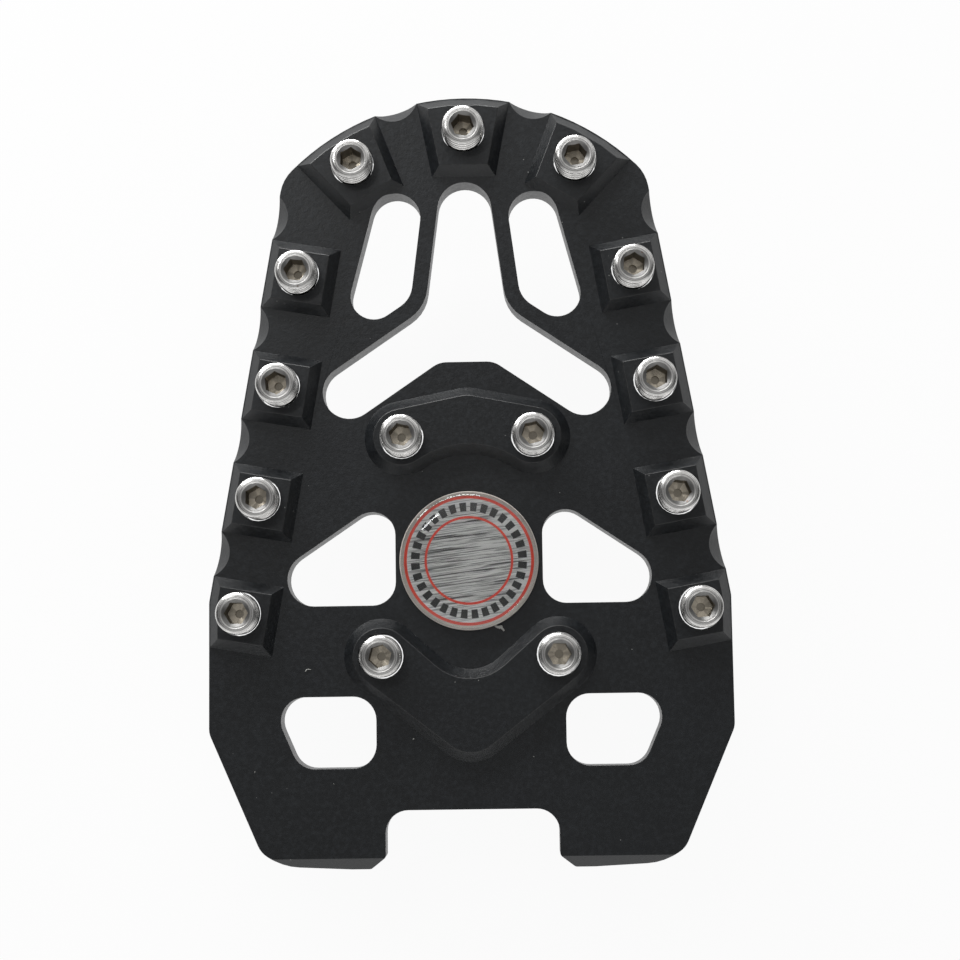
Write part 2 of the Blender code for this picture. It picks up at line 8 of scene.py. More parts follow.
import bmesh
import bpy
from bpy.props import FloatProperty, FloatVectorProperty, IntProperty, PointerProperty
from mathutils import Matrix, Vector


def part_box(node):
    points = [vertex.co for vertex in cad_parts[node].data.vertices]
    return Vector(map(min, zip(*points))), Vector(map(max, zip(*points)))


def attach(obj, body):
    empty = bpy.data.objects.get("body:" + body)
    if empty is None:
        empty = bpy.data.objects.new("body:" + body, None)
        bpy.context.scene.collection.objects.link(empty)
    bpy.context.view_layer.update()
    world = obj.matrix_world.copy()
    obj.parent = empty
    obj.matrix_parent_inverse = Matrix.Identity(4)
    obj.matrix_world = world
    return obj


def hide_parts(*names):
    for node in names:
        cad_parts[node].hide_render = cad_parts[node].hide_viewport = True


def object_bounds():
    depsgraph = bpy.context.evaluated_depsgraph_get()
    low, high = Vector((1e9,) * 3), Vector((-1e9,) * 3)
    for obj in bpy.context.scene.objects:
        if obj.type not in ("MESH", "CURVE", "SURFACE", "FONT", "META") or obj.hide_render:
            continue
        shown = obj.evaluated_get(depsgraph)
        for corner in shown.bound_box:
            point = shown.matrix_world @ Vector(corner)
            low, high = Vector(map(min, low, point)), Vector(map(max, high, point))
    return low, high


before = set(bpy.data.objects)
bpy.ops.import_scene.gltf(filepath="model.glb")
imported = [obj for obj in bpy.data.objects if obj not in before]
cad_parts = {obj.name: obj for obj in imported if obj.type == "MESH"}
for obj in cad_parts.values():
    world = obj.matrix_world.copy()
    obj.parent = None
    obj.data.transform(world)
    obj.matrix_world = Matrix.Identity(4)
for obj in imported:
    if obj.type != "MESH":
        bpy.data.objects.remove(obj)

bl_info = {
    "name": "Motorcycle foot peg",
    "version": (1, 0, 0),
    "blender": (4, 5, 0),
    "location": "3D View > Sidebar > Foot peg",
    "description": "Builds the finished foot peg and its studio round the packed model",
    "category": "Object",
}

CAD_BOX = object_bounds()

# Heights of the plate's level faces
PAD_TOP = 0.0113
TREAD = 0.0096
UNDERSIDE = 0.005
LEVEL_TOLERANCE = 0.00001   # how far from a level a corner may be and still be on it
MERGE_DISTANCE = 0.000002   # corners of the model's loose triangles this close are one
BROKEN_FROM = 22            # an outer edge is broken where it turns by this many degrees or more

# How far each screw is turned in its thread, in degrees
STUD_TURNS = {
    "stud_tip": -10,
    "stud_head_left": 28,
    "stud_head_right": 9,
    "stud_row_1_left": -6,
    "stud_row_1_right": 27,
    "stud_row_2_left": 35,
    "stud_row_2_right": 28,
    "stud_row_3_left": 29,
    "stud_row_3_right": -7,
    "stud_row_4_left": 0,
    "stud_row_4_right": 3,
    "stud_upper_left": -13,
    "stud_upper_right": 12,
    "stud_lower_left": 16,
    "stud_lower_right": -2,
}

# What a stud's faces are, as their "zone" attribute says: the flat ring on top, the hexagon's
# walls, the socket's bottom, the drilled hole in it, the rounded top edge and the socket's mouth.
# The flank's faces have 0
FLAT, WALL, BOTTOM, DRILLED, EDGE, MOUTH = range(1, 7)
ZONE_MARGIN = 0.4        # how far from a zone's number still counts as that zone

# Small forms of a stud
POINT = 0.0004           # chamfer round its foot
ROW_SPREAD = 1.3         # power that draws the thread's rows together towards the top
GROOVE = (               # each ring of the turned groove: how far out from the mouth, and down
    (0.00022, 0), (0.00018, 0.00003), (0.00006, 0.00003), (0, 0))
PIT_RIM = 0.00002        # width of the chamfer round the drilled hole
PIT_DIP = 0.00006        # fall of the socket's bottom to that chamfer
PIT_DEPTH = 0.0005       # depth of the drilled hole
FLANK_SHARP = 50         # degrees from which an edge of the thread is sharp
SOCKET_SHARP = 3         # and one of the socket

# Small forms of the badge
ROUND_SIDES = 128        # sides of the label and the dome
LABEL_EDGE = 0.00008     # chamfer round the label
DOME_STEPS = 40          # rings from the dome's foot to its crown
DOME_FOOT = (0.00006, 0.00008)   # width and height of the chamfer at the dome's foot
DOME_START = 0.0001      # height from which the dome's shoulder is drawn
CROWN = 0.02             # radius of the dome's last ring, as a share of the dome's
BRUSHING = -7            # turn of the label's streaks, in degrees
OUTER_LINE = 1.25        # width of the outer printed ring, in line widths
BAR_BLUR = 0.00005       # width over which a bar's end fades
RING_BLUR = 0.00004      # and a ring's edge

# Each strand of lint: its places on the tread with their rise above it, and its width at each
STRANDS = (
    (((-0.02391, 0.01172, 0), (-0.02376, 0.01196, 0), (-0.02347, 0.01205, 0.00004),
      (-0.02311, 0.01198, 0)), (0.8, 1.0, 1.0, 0.5)),
    (((0.0036, 0.01795, 0), (0.0040, 0.01772, 0), (0.0045, 0.01772, 0.00003),
      (0.0047, 0.01786, 0)), (2.0, 2.6, 3.4, 2.0)),
    (((0.0044, 0.01775, 0.00003), (0.0047, 0.01748, 0.00005), (0.00495, 0.01716, 0)),
     (3.0, 2.2, 1.6)),
    (((0.0042, 0.01770, 0), (0.0043, 0.01745, 0)), (2.4, 1.0)),
    (((-0.00845, 0.00178, 0), (-0.00825, 0.0019, 0)), (1.0, 0.8)),
    (((-0.01989, -0.00446, 0), (-0.01985, -0.00436, 0)), (0.9, 0.7)),
    (((-0.03128, -0.00270, 0), (-0.03122, -0.00245, 0)), (0.6, 0.5)),
)
STRAND_SIDES = 8
STRAND_FLATNESS = 0.6    # a strand's height, as a share of its width
STRAND_RISE = 0.3        # height of a strand's middle above the tread, in thicknesses

# Lights, each with its place, the point that it faces and its two sides
SOFT_BOX = ((-0.14, 0.42, 0.16), (0.0, 0.04, 0.01), (0.46, 0.05))
STRIP_LIGHT = ((-0.174, 0.223, 0.437), (-0.007, 0.032, 0.012), (0.10, 0.02))
FLOOR_GLOW = 0.94        # share of plain white in the floor, as the camera and reflections see it

# The camera, fitted to the photograph, with its turns in degrees
CAMERA_PLACE = (0.006312, 0.011228, 0.278389)
CAMERA_TURNS = (5.938, 0.965, -0.921)
CAMERA_LENS = 69.375     # in millimetres, as the sensor's width is
SENSOR_WIDTH = 36.0

BLACK = (0, 0, 0, 1)
WHITE = (1, 1, 1, 1)
RUST = (0.16, 0.07, 0.03, 1.0)
RESIN_HAZE = (0.96, 0.965, 0.96, 1)
FLOOR_TONE = (0.86, 0.86, 0.86, 1.0)


def length_setting(name, description, default):
    """A size that the panel shows as a length."""
    return FloatProperty(name=name, description=description, default=default, min=0.0,
                         unit="LENGTH", precision=5)


def colour_setting(name, description, default):
    """A colour that the panel shows as a swatch."""
    return FloatVectorProperty(name=name, description=description, default=default,
                               size=3, min=0.0, max=1.0, subtype="COLOR")


def power_setting(name, description, default):
    """The power of a light."""
    return FloatProperty(name=name, description=description, default=default, min=0.0,
                         unit="POWER")


class PlateSettings(bpy.types.PropertyGroup):
    edge_break: length_setting(
        "Edge break", "Width of the fine chamfer on the machined edges", 0.00006)
    colour: colour_setting("Finish", "Colour of the black anodising", (0.0055, 0.0067, 0.0080))
    # Painted highlight: the broken edges' anodising is lighter than the finish
    edge_highlight_colour: colour_setting(
        "Edge", "Colour of the anodising where an edge is broken", (0.018, 0.0187, 0.0192))
    dust_colour: colour_setting("Dust", "Colour of the dust specks", (0.26, 0.26, 0.25))


class StudSettings(bpy.types.PropertyGroup):
    crest: length_setting("Crest", "Radius of the thread's crest", 0.003)
    pitch: length_setting("Pitch", "Pitch of the thread", 0.001)
    depth: length_setting("Thread depth", "Depth of the thread from crest to root", 0.00056)
    groove_sharpness: FloatProperty(
        name="Groove", description="How narrow the groove is: 1 is as wide as the crest",
        default=1.2, min=0.5, max=5.0)
    threaded: length_setting(
        "Threaded length", "Length of the finely cut thread, from the top down", 0.0044)
    run_out: length_setting(
        "Run-out", "Distance from the top over which the thread deepens", 0.0004)
    rows: IntProperty(name="Rows", description="Rows of faces along the thread", default=72, min=8)
    edge_width: length_setting(
        "Edge width", "How far the rounded top edge reaches inwards", 0.0007)
    edge_height: length_setting(
        "Edge height", "How far the rounded top edge reaches down", 0.00045)
    mouth: length_setting(
        "Socket mouth", "Width of the countersink outside the hexagon's corners", 0.00028)
    mouth_slope: FloatProperty(
        name="Mouth slope", description="Fall of the countersink over its width",
        default=0.95, min=0.0, max=2.0)
    pilot: length_setting("Pilot hole", "Radius of the drilled hole in the socket's floor", 0.0006)
    across_flats: length_setting("Across flats", "Width of the hexagon socket", 0.003)
    socket_depth: length_setting("Socket depth", "Depth of the hexagon socket", 0.004)
    sides: IntProperty(name="Sides", description="Sides of the round shapes, a multiple of 12",
                       default=60, min=24)
    colour: colour_setting("Steel", "Colour of the bright steel", (0.92, 0.91, 0.89))
    socket_colour: colour_setting(
        "Socket floor", "Colour of the socket's floor", (1.0, 0.90, 0.74))


class BadgeSettings(bpy.types.PropertyGroup):
    outer_ring: length_setting("Outer ring", "Radius of the outer printed ring", 0.0091)
    inner_ring: length_setting("Inner ring", "Radius of the inner printed ring", 0.0062)
    line: length_setting("Line width", "Width of the inner printed ring's line", 0.0003)
    bars: IntProperty(name="Bars", description="Number of plain bars between the rings",
                      default=32, min=0)
    bar_radius: length_setting("Bar radius", "Radius at the middle of the bars", 0.0077)
    bar_length: length_setting(
        "Bar length", "Length of a bar, from the centre outwards", 0.0012)
    colour: colour_setting("Label", "Colour of the brushed metal", (0.92, 0.92, 0.90))
    streak_colour: colour_setting("Streaks", "Colour of the dark streaks", (0.05, 0.05, 0.048))
    margin_colour: colour_setting("Margin", "Colour of the label's margin", (0.70, 0.645, 0.59))
    ring_colour: colour_setting("Print", "Colour of the printed rings", (0.98, 0.07, 0.03))
    bar_colour: colour_setting("Bars", "Colour of the plain bars", (0.022, 0.022, 0.022))
    dome_fullness: FloatProperty(
        name="Dome fullness", description="How full the dome's shoulder is: 2 is an ellipse",
        default=2.2, min=1.5, max=5.0)


class LintSettings(bpy.types.PropertyGroup):
    thickness: length_setting("Thickness", "Thickness of a strand of width 1", 0.00014)
    colour: colour_setting("Lint", "Colour of the lint", (0.42, 0.42, 0.40))


class StageSettings(bpy.types.PropertyGroup):
    floor_size: length_setting("Floor", "Width of the floor", 3.0)
    world_strength: FloatProperty(
        name="Room light", description="Strength of the light from all round",
        default=0.8, min=0.0)
    key_power: power_setting("Soft box", "Power of the soft box", 1.9)
    strip_power: power_setting(
        "Strip", "Power of the narrow strip whose glint the dome shows", 0.12)


class PegSettings(bpy.types.PropertyGroup):
    plate: PointerProperty(
        type=PlateSettings, name="Plate", description="Sizes and colours of the plate")
    studs: PointerProperty(
        type=StudSettings, name="Studs", description="Sizes and colours of the studs")
    badge: PointerProperty(
        type=BadgeSettings, name="Badge", description="Sizes and colours of the badge")
    lint: PointerProperty(
        type=LintSettings, name="Lint", description="Size and colour of the lint")
    stage: PointerProperty(
        type=StageSettings, name="Stage", description="The floor and the lights")


# Node helpers


class Nodes:
    """Adds nodes to a tree and links their sockets."""

    def __init__(self, tree):
        self.tree = tree

    def add(self, kind, inputs=None, **settings):
        """A node of one kind, with its settings and with what its inputs get."""
        node = self.tree.nodes.new(kind)
        for key, value in settings.items():
            setattr(node, key, value)
        for key, value in (inputs or {}).items():
            self.feed(node.inputs[key], value)
        return node

    def feed(self, socket, value):
        """Links a socket or a node to an input, or sets the input to a plain value."""
        if isinstance(value, bpy.types.NodeSocket):
            self.tree.links.new(value, socket)
        elif isinstance(value, bpy.types.Node):
            self.tree.links.new(value.outputs[0], socket)
        else:
            socket.default_value = value

    def attribute(self, name):
        """A number that the mesh carries."""
        return self.add("ShaderNodeAttribute", attribute_name=name).outputs["Fac"]

    def math(self, operation, *values):
        """Arithmetic on numbers."""
        return self.add("ShaderNodeMath", dict(enumerate(values)), operation=operation).outputs[0]

    def largest(self, first, *others):
        """The largest of several numbers."""
        for other in others:
            first = self.math("MAXIMUM", first, other)
        return first

    def vector(self, operation, *values, out=0):
        """Arithmetic on vectors; a length comes from output 1."""
        node = self.add("ShaderNodeVectorMath", dict(enumerate(values)), operation=operation)
        return node.outputs[out]

    def noise(self, coords, scale, detail=2.0, roughness=0.5):
        """Noise from 0 to 1, as many blotches to the metre as the scale says."""
        return self.add("ShaderNodeTexNoise", {"Vector": coords, "Scale": scale, "Detail": detail,
                                               "Roughness": roughness}).outputs["Fac"]

    def ramp(self, value, low, high, out_low=0.0, out_high=1.0):
        """A straight rise from one level to another as a number goes from low to high."""
        return self.add("ShaderNodeMapRange", {"Value": value, "From Min": low, "From Max": high,
                                               "To Min": out_low, "To Max": out_high}).outputs[0]

    def mix(self, factor, first, second):
        """The first colour where the factor is 0, the second where it is 1."""
        # The colours' sockets go by number, because a Mix node has an A and a B for each data type
        return self.add("ShaderNodeMix", {0: factor, 6: first, 7: second},
                        data_type="RGBA").outputs[2]

    def paint(self, tone, mask, colour, strength):
        """A tone with a colour over it where the mask is, as strongly as is said."""
        return self.mix(self.math("MULTIPLY", mask, strength), tone, colour)

    def bump(self, height, distance):
        """A normal for a height from 0 to 1 that stands for a distance."""
        return self.add("ShaderNodeBump", {"Height": height, "Distance": distance}).outputs[0]

    def object_place(self):
        """The place on the piece, in the shared frame."""
        return self.add("ShaderNodeTexCoord").outputs["Object"]


def shade(colour, factor=1.0):
    """A colour made darker or lighter, with its alpha."""
    return (*[min(1.0, part * factor) for part in colour], 1.0)


def new_material(name):
    """A material, its nodes and its shader."""
    made = bpy.data.materials.new(name)
    made.use_nodes = True
    return made, Nodes(made.node_tree), made.node_tree.nodes["Principled BSDF"]


def specks(tree, where, scale, size, share, seed):
    """A mask of small ragged specks: one in a share of the cells of a given scale."""
    moved = tree.vector("ADD", where, (seed, seed * 1.7, seed * 0.6))
    cells = tree.add("ShaderNodeTexVoronoi",
                     {"Vector": moved, "Scale": scale, "Randomness": 1.0})
    draw = tree.add("ShaderNodeSeparateColor", {"Color": cells.outputs["Color"]}).outputs[0]
    chosen = tree.math("LESS_THAN", draw, share)
    ragged = tree.math("MULTIPLY", tree.noise(where, scale=scale * 14.0), 0.9)
    distance = tree.math("ADD", cells.outputs["Distance"], tree.math("MULTIPLY", ragged, size))
    near = tree.ramp(distance, size * 1.7, size * 1.1)
    return tree.math("MULTIPLY", near, chosen)


# Materials


def anodised(name, settings, colour, grain):
    """Bead-blasted black anodising: a fine grain, faint cloudy tone and scattered dust."""
    made, tree, shader = new_material(name)
    where = tree.object_place()
    clouds = tree.noise(where, scale=60.0, detail=4.0)
    blast = tree.noise(where, scale=1600.0, detail=3.0, roughness=0.6)
    pits = tree.noise(where, scale=4200.0, detail=2.0, roughness=0.7)
    tone = tree.mix(tree.ramp(clouds, 0.3, 0.7), shade(colour, 0.82), shade(colour, 1.2))
    tone = tree.mix(tree.ramp(blast, 0.45, 0.75), tone, shade(colour, 2.0))
    dust = tree.largest(specks(tree, where, scale=420.0, size=0.042, share=0.08, seed=3.1),
                        specks(tree, where, scale=900.0, size=0.065, share=0.06, seed=7.7))
    tone = tree.mix(dust, tone, shade(settings.dust_colour))
    height = tree.math("ADD", pits, tree.math("MULTIPLY", blast, 1.5))
    tree.feed(shader.inputs["Base Color"], tone)
    tree.feed(shader.inputs["Roughness"], tree.ramp(blast, 0.3, 0.7, 0.33, 0.44))
    tree.feed(shader.inputs["Normal"], tree.bump(height, grain))
    shader.inputs["Metallic"].default_value = 0.0
    shader.inputs["IOR"].default_value = 1.52
    return made


def bright_steel(settings):
    """Bright steel: turned on top, with painted shade at the thread's root, on the countersink, on
    the socket's walls and in the drilled hole, dull in the socket with painted light and dark
    sectors on its floor, and a little rust.
    """
    made, tree, shader = new_material("bright_steel")
    where = tree.object_place()
    zone = tree.attribute("zone")
    flat, walls, bottom, drilled, edge, mouth = (
        tree.math("COMPARE", zone, number, ZONE_MARGIN)
        for number in (FLAT, WALL, BOTTOM, DRILLED, EDGE, MOUTH))
    turned = tree.largest(flat, mouth)
    chart = tree.add("ShaderNodeSeparateXYZ",
                     {0: tree.add("ShaderNodeUVMap", uv_map="turning")}).outputs

    blotch = tree.noise(where, scale=900.0, detail=3.0)
    steel = tree.mix(tree.ramp(blotch, 0.35, 0.7),
                     shade(settings.colour), shade(settings.colour, 0.82))
    steel = tree.paint(steel, flat, BLACK, strength=0.1)
    # Painted shade: the countersink round the socket's mouth is darkened
    steel = tree.paint(steel, mouth, BLACK, strength=0.58)
    along_profile = tree.add("ShaderNodeCombineXYZ", {"X": chart["X"]})
    rings = tree.noise(along_profile, scale=6.5, detail=3.0, roughness=0.7)
    marks = tree.math("MULTIPLY", tree.ramp(rings, 0.48, 0.43), tree.largest(turned, edge))
    steel = tree.paint(steel, marks, shade(settings.colour, 0.2), strength=0.8)
    # Painted shade: the steel darkens towards the thread's root, where the groove is deepest
    root = tree.ramp(tree.attribute("hollow"), 0.2, 0.6, 0.0, 0.97)
    steel = tree.mix(root, steel, shade(settings.socket_colour, 0.08))

    # Painted light and dark reflection sectors round the axis on the socket's floor, other ones in
    # each stud
    round_axis = tree.add("ShaderNodeCombineXYZ", {"X": tree.math("MULTIPLY", chart["Y"], 7.0)})
    each_stud = tree.vector("MULTIPLY", where, (40.0, 40.0, 0.0))
    painted_sectors = tree.noise(tree.vector("ADD", each_stud, round_axis), scale=1.0, detail=1.0)
    dull = tree.mix(tree.ramp(painted_sectors, 0.42, 0.56),
                    shade(settings.socket_colour, 0.62), shade(settings.socket_colour))
    tone = tree.mix(bottom, steel, dull)
    # Painted shade: the hexagon's walls deep in the socket are darkened
    tone = tree.mix(walls, tone, shade(settings.socket_colour, 0.2))
    # Painted shade: the drilled hole at the socket's bottom is darker still
    tone = tree.mix(drilled, tone, shade(settings.socket_colour, 0.45))
    rust = specks(tree, where, scale=700.0, size=0.12, share=0.06, seed=5.3)
    tone = tree.paint(tone, rust, RUST, strength=0.7)

    rough = tree.ramp(blotch, 0.3, 0.7, 0.2, 0.28)
    rough = tree.math("ADD", rough, tree.math("MULTIPLY", turned, 0.28))
    rough = tree.math("ADD", rough, tree.math("MULTIPLY", walls, 0.15))
    tree.feed(shader.inputs["Base Color"], tone)
    tree.feed(shader.inputs["Roughness"], rough)
    tree.feed(shader.inputs["Metallic"], tree.ramp(bottom, 0.0, 1.0, 1.0, 0.8))
    tree.feed(shader.inputs["Tangent"],
              tree.add("ShaderNodeTangent", direction_type="UV_MAP", uv_map="turning"))
    tree.feed(shader.inputs["Normal"], tree.bump(tree.noise(where, scale=2600.0), 0.000002))
    shader.inputs["Anisotropic"].default_value = 0.85
    return made


def brushed_label(settings, centre):
    """Brushed metal with dark streaks, two printed rings, a ring of plain bars and a margin."""
    made, tree, shader = new_material("brushed_label")
    local = tree.vector("SUBTRACT", tree.object_place(), centre)
    radius = tree.vector("LENGTH", tree.vector("MULTIPLY", local, (1.0, 1.0, 0.0)), out=1)
    brushed = tree.add("ShaderNodeMapping",
                       {"Vector": local, "Rotation": (0, 0, math.radians(BRUSHING))}).outputs[0]

    def streaks(along, across, roughness=0.5):
        """Noise drawn out along the brushing, from its scales along it and across it."""
        drawn = tree.vector("MULTIPLY", brushed, (along, across, 1.0))
        return tree.noise(drawn, scale=1.0, roughness=roughness)

    def printed_ring(middle, width):
        """A mask of a ring of a given radius and width."""
        away = tree.math("ABSOLUTE", tree.math("SUBTRACT", radius, middle))
        return tree.ramp(away, width / 2 + RING_BLUR, width / 2)

    broad = streaks(60.0, 1500.0)
    lines = streaks(90.0, 4600.0, roughness=0.6)
    hairs = streaks(140.0, 9500.0, roughness=0.6)
    tone = tree.mix(tree.ramp(broad, 0.3, 0.7),
                    shade(settings.colour, 0.8), shade(settings.colour, 1.08))
    pale = tree.ramp(radius, settings.inner_ring, settings.outer_ring, 0.0, 0.6)
    tone = tree.mix(pale, tone, WHITE)
    dark = tree.largest(tree.ramp(lines, 0.465, 0.435),
                        tree.math("MULTIPLY", tree.ramp(hairs, 0.46, 0.43), 0.8))
    dark = tree.math("MULTIPLY", dark, tree.ramp(broad, 0.66, 0.4, 0.5, 1.0))
    inside = tree.ramp(radius, settings.outer_ring, settings.inner_ring, 0.45, 1.0)
    tone = tree.mix(tree.math("MULTIPLY", dark, inside), tone, shade(settings.streak_colour))
    margin = tree.mix(hairs, shade(settings.margin_colour, 0.8), shade(settings.margin_colour, 1.2))
    tone = tree.mix(tree.math("GREATER_THAN", radius, settings.outer_ring), tone, margin)

    axes = tree.add("ShaderNodeSeparateXYZ", {0: local}).outputs
    turn = tree.math("ARCTAN2", axes["Y"], axes["X"])
    share = tree.math("FRACT", tree.math("MULTIPLY", turn, settings.bars / math.tau))
    across = tree.math("ABSOLUTE", tree.math("SUBTRACT", share, 0.5))
    along = tree.math("ABSOLUTE", tree.math("SUBTRACT", radius, settings.bar_radius))
    half = settings.bar_length / 2
    bars = tree.math("MULTIPLY", tree.ramp(across, 0.33, 0.29),
                     tree.ramp(along, half + BAR_BLUR, half))
    rings = tree.largest(printed_ring(settings.outer_ring, settings.line * OUTER_LINE),
                         printed_ring(settings.inner_ring, settings.line))
    tone = tree.mix(bars, tone, shade(settings.bar_colour))
    tone = tree.mix(rings, tone, shade(settings.ring_colour))

    tree.feed(shader.inputs["Base Color"], tone)
    tree.feed(shader.inputs["Metallic"], tree.ramp(tree.largest(rings, bars), 0.0, 1.0, 0.2, 0.0))
    tree.feed(shader.inputs["Normal"], tree.bump(lines, 0.00001))
    shader.inputs["Roughness"].default_value = 0.45
    return made


def clear_resin():
    """Clear resin with the faintest haze and unevenness."""
    made, tree, shader = new_material("clear_resin")
    where = tree.object_place()
    haze = tree.noise(where, scale=400.0, detail=3.0)
    waves = tree.noise(where, scale=60.0, detail=1.0)
    tree.feed(shader.inputs["Base Color"], tree.mix(haze, WHITE, RESIN_HAZE))
    tree.feed(shader.inputs["Roughness"], tree.ramp(haze, 0.4, 0.8, 0.02, 0.04))
    tree.feed(shader.inputs["Normal"], tree.bump(waves, 0.000002))
    shader.inputs["Transmission Weight"].default_value = 1.0
    shader.inputs["IOR"].default_value = 1.46
    return made


def lint_fibre(settings):
    """Pale fibre, lighter and darker along its length."""
    made, tree, shader = new_material("lint")
    uneven = tree.noise(tree.object_place(), scale=5000.0)
    tree.feed(shader.inputs["Base Color"],
              tree.mix(uneven, shade(settings.colour, 0.6), shade(settings.colour, 1.3)))
    tree.feed(shader.inputs["Roughness"], tree.ramp(uneven, 0.3, 0.7, 0.6, 0.9))
    tree.feed(shader.inputs["Normal"], tree.bump(uneven, 0.00001))
    return made


def pale_floor():
    """Pale floor that reads as white to the camera and in reflections, and keeps the shadow."""
    made, tree, shader = new_material("floor")
    shader.inputs["Base Color"].default_value = FLOOR_TONE
    shader.inputs["Roughness"].default_value = 0.9
    shader.inputs["Specular IOR Level"].default_value = 0.0
    path = tree.add("ShaderNodeLightPath").outputs
    seen = tree.largest(path["Is Camera Ray"], path["Is Glossy Ray"], path["Is Transmission Ray"])
    glow = tree.add("ShaderNodeEmission", {"Color": WHITE, "Strength": 1.0})
    share = tree.math("MULTIPLY", seen, FLOOR_GLOW)
    mix = tree.add("ShaderNodeMixShader", {0: share, 1: shader, 2: glow})
    tree.feed(made.node_tree.nodes["Material Output"].inputs["Surface"], mix)
    return made


# Meshes


def new_piece(name, data, *materials):
    """An object for a mesh, in the scene and with its materials."""
    obj = bpy.data.objects.new(name, data)
    bpy.context.scene.collection.objects.link(obj)
    for finish in materials:
        data.materials.append(finish)
    return obj


def finished_mesh(name, mesh):
    """The mesh that has been built, as data of its own."""
    data = bpy.data.meshes.new(name)
    mesh.to_mesh(data)
    mesh.free()
    return data


def smooth(data, degrees):
    """Smooth shading, apart from edges that turn by more than an angle."""
    data.shade_smooth()
    data.set_sharp_from_angle(angle=math.radians(degrees))


def ring(radius, sides):
    """Points round a circle."""
    angles = [math.tau * k / sides for k in range(sides)]
    return [(radius * math.cos(angle), radius * math.sin(angle)) for angle in angles]


def hexagon(across_flats, sides):
    """As many points as a circle has, all on a hexagon whose corners are among them."""
    points = []
    for k in range(sides):
        angle = math.tau * k / sides
        reach = across_flats / 2 / math.cos(angle % (math.tau / 6) - math.tau / 12)
        points.append((reach * math.cos(angle), reach * math.sin(angle)))
    return points


def at_height(points, height):
    """Flat points at a height."""
    return [(x, y, height) for x, y in points]


def bridge(mesh, sections):
    """Quads through rings of as many points each, mapped along the profile and round the axis.

    The UV map "turning" has millimetres along the profile, and a share of a turn round the axis.
    """
    charts = mesh.loops.layers.uv
    chart = charts.get("turning") or charts.new("turning")
    rings = [[mesh.verts.new(point) for point in section] for section in sections]
    bands = []
    along = 0.0
    for lower, upper in zip(rings, rings[1:]):
        start, along = along, along + 1000 * (lower[0].co - upper[0].co).length
        bands.append([])
        for i in range(len(lower)):
            face = mesh.faces.new((lower[i - 1], lower[i], upper[i], upper[i - 1]))
            before, after = (i - 1) / len(lower), i / len(lower)
            spots = ((start, before), (start, after), (along, after), (along, before))
            for loop, spot in zip(face.loops, spots):
                loop[chart].uv = spot
            bands[-1].append(face)
    return rings, bands


def extent(node):
    """A node's lowest and highest corners and the middle between them."""
    low, high = (Vector(corner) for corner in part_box(node))
    return low, high, (low + high) / 2


# Plate


def rim_corners(edges):
    """The corners of the one loop, among the edges of a level, that reaches furthest out."""
    linked = {}
    for edge in edges:
        for vert in edge.verts:
            linked.setdefault(vert, []).append(edge)
    furthest = max(linked, key=lambda vert: vert.co.y)
    seen, front = {furthest}, [furthest]
    while front:
        for edge in linked[front.pop()]:
            for vert in edge.verts:
                if vert not in seen:
                    seen.add(vert)
                    front.append(vert)
    return seen


def broken_edges(data, width):
    """A copy of the plate's mesh whose outer level edges, but for the tread's rim, are broken."""
    mesh = bmesh.new()
    mesh.from_mesh(data)
    bmesh.ops.remove_doubles(mesh, verts=mesh.verts, dist=MERGE_DISTANCE)
    levels = {PAD_TOP: [], TREAD: [], UNDERSIDE: []}
    for edge in mesh.edges:
        if not edge.is_manifold or edge.calc_face_angle_signed() < math.radians(BROKEN_FROM):
            continue
        for height, edges in levels.items():
            if all(abs(vert.co.z - height) < LEVEL_TOLERANCE for vert in edge.verts):
                edges.append(edge)
    rim = rim_corners(levels[TREAD])
    windows = [edge for edge in levels[TREAD] if edge.verts[0] not in rim]
    bmesh.ops.bevel(mesh, geom=levels[PAD_TOP] + windows + levels[UNDERSIDE], offset=width,
                    offset_type="OFFSET", segments=1, profile=0.5, affect="EDGES",
                    clamp_overlap=False, material=1)
    made = finished_mesh("plate", mesh)
    old_normals = made.attributes.get("custom_normal")
    if old_normals is not None:
        made.attributes.remove(old_normals)
    return made


class PEG_OT_plate(bpy.types.Operator):
    """Finish the plate: its edges are broken and it gets its black anodising"""

    bl_idname = "peg.plate"
    bl_label = "Plate"

    def execute(self, context):
        settings = context.scene.peg.plate
        data = broken_edges(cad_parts["peg_plate"].data, settings.edge_break)
        smooth(data, degrees=18)
        finish = anodised("black_anodised", settings, settings.colour, grain=0.00002)
        # Painted highlight: the broken edges get the lighter anodising
        edge = anodised("anodised_edge_highlight", settings, settings.edge_highlight_colour, grain=0.00001)
        plate = new_piece("plate", data, finish, edge)
        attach(plate, "root")
        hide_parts("peg_plate")
        return {"FINISHED"}


# Studs


def thread_depth(settings, turn, height):
    """How deep the thread is, from 0 to 1, at a height and at a share of a turn."""
    wave = 0.5 - 0.5 * math.cos(math.tau * (height / settings.pitch - turn))
    return wave ** settings.groove_sharpness


def edge_radius(settings, below_top):
    """The radius that the rounded top edge leaves at a distance below the top."""
    share = min(1.0, below_top / settings.edge_height)
    return settings.crest - settings.edge_width * (1 - math.sqrt(1 - (1 - share) ** 2))


